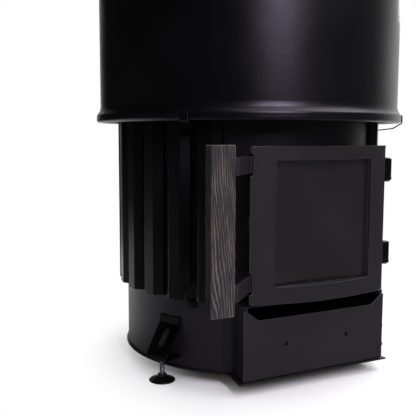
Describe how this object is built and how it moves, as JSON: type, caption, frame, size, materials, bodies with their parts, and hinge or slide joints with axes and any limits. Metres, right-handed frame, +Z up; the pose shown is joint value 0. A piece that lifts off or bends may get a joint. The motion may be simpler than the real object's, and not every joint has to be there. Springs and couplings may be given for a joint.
{
  "type": "wood-burning sauna stove",
  "caption": "Round wood-burning sauna stove: fluted casing, stone drum, curved glass door with wooden bar handle, ash drawer, screw feet.",
  "frame": {"origin": "middle of the bounding box on the floor plane under the feet", "axes": "+Z up; the door faces -Y; +X to the right seen from the front, towards the door's hinges"},
  "size_m": [0.554, 0.5735, 0.8],
  "materials": {
    "black_paint": "matt to satin heat-resistant black",
    "firebox_steel": "mill-scale steel, matt",
    "grate_iron": "rough cast",
    "zinc": "bright zinc plate",
    "seal_rope": "braided glass fibre",
    "dark_glass": "polished ceramic glass, dark",
    "charred_wood": "charred and brushed, open grain"
  },
  "bodies": {
    "stove": {"drum_shell": "black_paint", "drum_floor": "black_paint", "drum_gussets": "black_paint", "flute_wrap": "black_paint", "wrap_clips": "black_paint", "wrap_tabs": "black_paint", "front_panel": "black_paint", "base_plate": "black_paint", "base_ring": "black_paint", "apron_left": "black_paint", "apron_right": "black_paint", "apron_top": "black_paint", "foot_brackets": "black_paint", "door_collar": "black_paint", "hinge_lugs": "black_paint", "firebox_shell": "firebox_steel", "firebox_floor": "firebox_steel", "baffle_plate": "firebox_steel", "baffle_rests": "firebox_steel", "firebox_top": "firebox_steel", "flue_pipe": "firebox_steel", "drawer_runners": "firebox_steel", "latch_keeper": "firebox_steel", "fire_grate": "grate_iron", "hinge_pins": "zinc"},
    "door": {"door_plate": "black_paint", "door_frame": "black_paint", "glass_gasket": "seal_rope", "door_glass": "dark_glass", "glass_clips": "firebox_steel", "clip_screws": "zinc", "door_seal": "seal_rope", "hinge_barrels": "black_paint", "latch_tongue": "firebox_steel", "handle_straps": "black_paint", "handle_bar": "charred_wood", "handle_screws": "zinc"},
    "drawer": {"ash_box": "firebox_steel", "drawer_front": "black_paint", "drawer_screws": "firebox_steel"},
    "foot_1": {"foot_stud_1": "zinc", "foot_pad_1": "grate_iron"},
    "foot_2": {"foot_stud_2": "zinc", "foot_pad_2": "grate_iron"},
    "foot_3": {"foot_stud_3": "zinc", "foot_pad_3": "grate_iron"}
  },
  "joints": [
    {"name": "door_hinge", "type": "hinge", "parent": "stove", "child": "door", "pos_m": [0.141, -0.2162, 0.27], "axis": [0, 0, 1], "range_deg": [0, 110]},
    {"name": "drawer_slide", "type": "slide", "parent": "stove", "child": "drawer", "axis": [0, -1, 0], "range_m": [0, 0.28]},
    {"name": "foot_1_screw", "type": "slide", "parent": "stove", "child": "foot_1", "axis": [0, 0, 1], "range_m": [-0.007, 0.004]},
    {"name": "foot_2_screw", "type": "slide", "parent": "stove", "child": "foot_2", "axis": [0, 0, 1], "range_m": [-0.007, 0.004]},
    {"name": "foot_3_screw", "type": "slide", "parent": "stove", "child": "foot_3", "axis": [0, 0, 1], "range_m": [-0.007, 0.004]}
  ]
}
